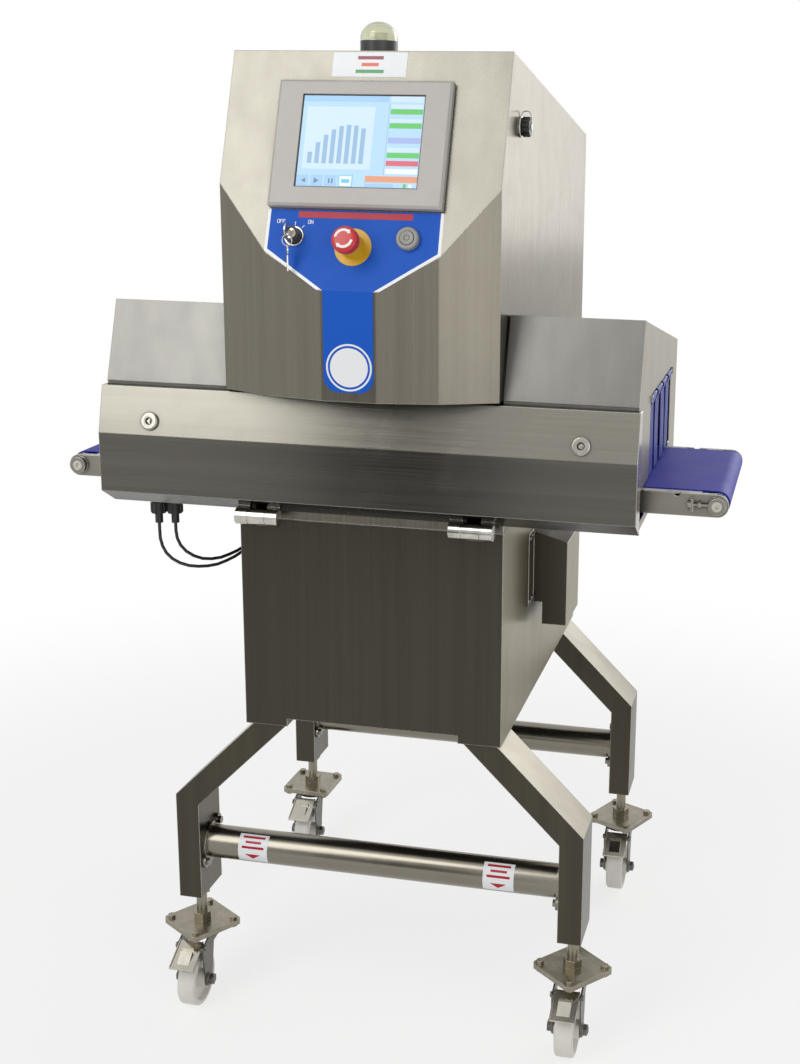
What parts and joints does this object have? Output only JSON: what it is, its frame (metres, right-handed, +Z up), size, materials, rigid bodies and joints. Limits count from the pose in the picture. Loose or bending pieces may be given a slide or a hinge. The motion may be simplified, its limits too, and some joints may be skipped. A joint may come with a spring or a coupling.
{
  "type": "food x-ray inspection machine",
  "caption": "Upright stainless x-ray inspection machine: sloped control head over a short belt tunnel with strip curtains, lower cabinet, bent legs and braked casters.",
  "frame": {"origin": "on the floor below the middle of the machine's bounding box", "axes": "+X along the belt to the outlet, +Y from the operator's side to the rear, +Z up"},
  "size_m": [1.1678, 0.8682, 1.7725],
  "materials": {
    "brushed_stainless": "brushed stainless sheet, horizontal grain",
    "polished_stainless": "polished stainless",
    "leg_stainless": "brushed stainless tube, vertical grain",
    "zinc_steel": "dull zinc-plated pressed steel",
    "nylon_white": "white cast nylon",
    "bed_white": "white polyethylene slide bed",
    "belt_blue": "royal blue belt, fine fabric mark",
    "curtain_blue": "translucent blue flexible sheet",
    "bezel_grey": "warm grey satin coat",
    "screen": "lit touch screen",
    "control_yellow": "yellow moulded plastic with steel and black parts",
    "stop_red": "red moulded plastic",
    "button_grey": "light grey moulded plastic",
    "plastic_black": "black moulded plastic",
    "lamp_dome": "clear greenish moulded dome",
    "tank_grey": "cast and sheet metal housing",
    "cable_black": "black cable jacket"
  },
  "bodies": {
    "machine": {"cabinet_shell": "brushed_stainless", "side_cover": "brushed_stainless", "leg_front_left": "leg_stainless", "leg_front_right": "leg_stainless", "leg_rear_left": "leg_stainless", "leg_rear_right": "leg_stainless", "fork_tubes": "polished_stainless", "caster_mounts": "polished_stainless", "inlet_tunnel": "brushed_stainless", "outlet_tunnel": "brushed_stainless", "hinge_blocks": "polished_stainless", "conveyor_frame": "brushed_stainless", "slider_bed": "bed_white", "conveyor_belt": "belt_blue", "head_shell": "brushed_stainless", "display_bezel": "bezel_grey", "touch_screen": "screen", "control_collars": "control_yellow", "beacon_base": "plastic_black", "beacon_lens": "lamp_dome", "port_socket": "polished_stainless", "xray_generator": "tank_grey", "detector": "tank_grey", "control_plate": "tank_grey", "connectors": "plastic_black", "cable_front": "cable_black", "cable_rear": "cable_black"},
    "door": {"rear_door": "brushed_stainless"},
    "door_lock": {"rear_lock_rotor": "polished_stainless"},
    "cover": {"access_cover": "brushed_stainless", "cover_locks": "polished_stainless"},
    "lock_left": {"lock_rotor_left": "polished_stainless"},
    "lock_right": {"lock_rotor_right": "polished_stainless"},
    "drum": {"drive_drum": "polished_stainless"},
    "tail": {"tail_roller": "polished_stainless"},
    "stop": {"estop_button": "stop_red"},
    "start": {"start_button": "button_grey"},
    "key": {"mode_key": "polished_stainless"},
    "second_key": {"spare_key": "polished_stainless"},
    "cap": {"port_cap": "plastic_black"},
    "strip_in_1": {"curtain_in_1": "curtain_blue"},
    "strip_in_2": {"curtain_in_2": "curtain_blue"},
    "strip_in_3": {"curtain_in_3": "curtain_blue"},
    "strip_in_4": {"curtain_in_4": "curtain_blue"},
    "strip_out_1": {"curtain_out_1": "curtain_blue"},
    "strip_out_2": {"curtain_out_2": "curtain_blue"},
    "strip_out_3": {"curtain_out_3": "curtain_blue"},
    "strip_out_4": {"curtain_out_4": "curtain_blue"},
    "caster_front_left": {"caster_fork_front_left": "zinc_steel"},
    "wheel_front_left": {"caster_wheel_front_left": "nylon_white"},
    "brake_front_left": {"caster_brake_front_left": "polished_stainless"},
    "caster_front_right": {"caster_fork_front_right": "zinc_steel"},
    "wheel_front_right": {"caster_wheel_front_right": "nylon_white"},
    "brake_front_right": {"caster_brake_front_right": "polished_stainless"},
    "caster_rear_left": {"caster_fork_rear_left": "zinc_steel"},
    "wheel_rear_left": {"caster_wheel_rear_left": "nylon_white"},
    "brake_rear_left": {"caster_brake_rear_left": "polished_stainless"},
    "caster_rear_right": {"caster_fork_rear_right": "zinc_steel"},
    "wheel_rear_right": {"caster_wheel_rear_right": "nylon_white"},
    "brake_rear_right": {"caster_brake_rear_right": "polished_stainless"}
  },
  "joints": [
    {"name": "access_cover_hinge", "type": "hinge", "parent": "machine", "child": "cover", "pos_m": [-0.009, -0.33905, 0.9705], "axis": [1, 0, 0], "range_deg": [0, 110]},
    {"name": "cover_lock_left_turn", "type": "hinge", "parent": "cover", "child": "lock_left", "pos_m": [-0.373, -0.35515, 1.1265], "axis": [0, 0.9687, -0.2484], "range_deg": [0, 90]},
    {"name": "cover_lock_right_turn", "type": "hinge", "parent": "cover", "child": "lock_right", "pos_m": [0.355, -0.35515, 1.1265], "axis": [0, 0.9687, -0.2484], "range_deg": [0, 90]},
    {"name": "rear_door_hinge", "type": "hinge", "parent": "machine", "child": "door", "pos_m": [-0.233, 0.42135, 0.778], "axis": [0, 0, 1], "range_deg": [0, 110]},
    {"name": "rear_lock_turn", "type": "hinge", "parent": "door", "child": "door_lock", "pos_m": [0.20585, 0.42735, 0.778], "axis": [0, -1, 0], "range_deg": [0, 90]},
    {"name": "curtain_in_1_swing", "type": "hinge", "parent": "machine", "child": "strip_in_1", "pos_m": [-0.45875, -0.15405, 1.1755], "axis": [0, 1, 0], "range_deg": [-60, 60]},
    {"name": "curtain_in_2_swing", "type": "hinge", "parent": "machine", "child": "strip_in_2", "pos_m": [-0.45875, -0.0753, 1.1755], "axis": [0, 1, 0], "range_deg": [-60, 60]},
    {"name": "curtain_in_3_swing", "type": "hinge", "parent": "machine", "child": "strip_in_3", "pos_m": [-0.45875, 0.00345, 1.1755], "axis": [0, 1, 0], "range_deg": [-60, 60]},
    {"name": "curtain_in_4_swing", "type": "hinge", "parent": "machine", "child": "strip_in_4", "pos_m": [-0.45875, 0.0822, 1.1755], "axis": [0, 1, 0], "range_deg": [-60, 60]},
    {"name": "curtain_out_1_swing", "type": "hinge", "parent": "machine", "child": "strip_out_1", "pos_m": [0.44075, -0.15405, 1.1755], "axis": [0, 1, 0], "range_deg": [-60, 60]},
    {"name": "curtain_out_2_swing", "type": "hinge", "parent": "machine", "child": "strip_out_2", "pos_m": [0.44075, -0.0753, 1.1755], "axis": [0, 1, 0], "range_deg": [-60, 60]},
    {"name": "curtain_out_3_swing", "type": "hinge", "parent": "machine", "child": "strip_out_3", "pos_m": [0.44075, 0.00345, 1.1755], "axis": [0, 1, 0], "range_deg": [-60, 60]},
    {"name": "curtain_out_4_swing", "type": "hinge", "parent": "machine", "child": "strip_out_4", "pos_m": [0.44075, 0.0822, 1.1755], "axis": [0, 1, 0], "range_deg": [-60, 60]},
    {"name": "drive_drum_spin", "type": "hinge", "parent": "machine", "child": "drum", "pos_m": [-0.564, -0.06705, 1.0175], "axis": [0, 1, 0], "continuous": true},
    {"name": "tail_roller_spin", "type": "hinge", "parent": "machine", "child": "tail", "pos_m": [0.564, -0.06705, 1.0175], "axis": [0, 1, 0], "continuous": true},
    {"name": "caster_front_left_swivel", "type": "hinge", "parent": "machine", "child": "caster_front_left", "pos_m": [-0.3635, -0.24705, 0.15], "axis": [0, 0, 1], "continuous": true},
    {"name": "wheel_front_left_roll", "type": "hinge", "parent": "caster_front_left", "child": "wheel_front_left", "pos_m": [-0.3635, -0.28505, 0.05], "axis": [1, 0, 0], "continuous": true},
    {"name": "brake_front_left_press", "type": "hinge", "parent": "caster_front_left", "child": "brake_front_left", "pos_m": [-0.3635, -0.29905, 0.1215], "axis": [1, 0, 0], "range_deg": [0, 8]},
    {"name": "caster_front_right_swivel", "type": "hinge", "parent": "machine", "child": "caster_front_right", "pos_m": [0.3455, -0.24705, 0.15], "axis": [0, 0, 1], "continuous": true},
    {"name": "wheel_front_right_roll", "type": "hinge", "parent": "caster_front_right", "child": "wheel_front_right", "pos_m": [0.3455, -0.28505, 0.05], "axis": [1, 0, 0], "continuous": true},
    {"name": "brake_front_right_press", "type": "hinge", "parent": "caster_front_right", "child": "brake_front_right", "pos_m": [0.3455, -0.29905, 0.1215], "axis": [1, 0, 0], "range_deg": [0, 8]},
    {"name": "caster_rear_left_swivel", "type": "hinge", "parent": "machine", "child": "caster_rear_left", "pos_m": [-0.3635, 0.36695, 0.15], "axis": [0, 0, 1], "continuous": true},
    {"name": "wheel_rear_left_roll", "type": "hinge", "parent": "caster_rear_left", "child": "wheel_rear_left", "pos_m": [-0.3635, 0.32895, 0.05], "axis": [1, 0, 0], "continuous": true},
    {"name": "brake_rear_left_press", "type": "hinge", "parent": "caster_rear_left", "child": "brake_rear_left", "pos_m": [-0.3635, 0.31495, 0.1215], "axis": [1, 0, 0], "range_deg": [0, 8]},
    {"name": "caster_rear_right_swivel", "type": "hinge", "parent": "machine", "child": "caster_rear_right", "pos_m": [0.3455, 0.36695, 0.15], "axis": [0, 0, 1], "continuous": true},
    {"name": "wheel_rear_right_roll", "type": "hinge", "parent": "caster_rear_right", "child": "wheel_rear_right", "pos_m": [0.3455, 0.32895, 0.05], "axis": [1, 0, 0], "continuous": true},
    {"name": "brake_rear_right_press", "type": "hinge", "parent": "caster_rear_right", "child": "brake_rear_right", "pos_m": [0.3455, 0.31495, 0.1215], "axis": [1, 0, 0], "range_deg": [0, 8]},
    {"name": "estop_press", "type": "slide", "parent": "machine", "child": "stop", "axis": [0, 0.9379, -0.347], "range_m": [0, 0.004], "stiffness_N_per_m": 2000},
    {"name": "start_press", "type": "slide", "parent": "machine", "child": "start", "axis": [0, 0.9379, -0.347], "range_m": [0, 0.003], "stiffness_N_per_m": 300},
    {"name": "mode_key_turn", "type": "hinge", "parent": "machine", "child": "key", "pos_m": [-0.105, -0.3761, 1.4405], "axis": [0, 0.9379, -0.347], "range_deg": [0, 90]},
    {"name": "spare_key_swing", "type": "hinge", "parent": "key", "child": "second_key", "pos_m": [-0.105, -0.40798, 1.4443], "axis": [-1, 0, 0], "range_deg": [-5, 45]},
    {"name": "port_cap_turn", "type": "hinge", "parent": "machine", "child": "cap", "pos_m": [0.221, -0.21705, 1.6125], "axis": [1, 0, 0], "range_deg": [0, 360]}
  ],
  "couplings": [
    {"joint": "tail_roller_spin", "follows": "drive_drum_spin", "ratio": 1}
  ]
}
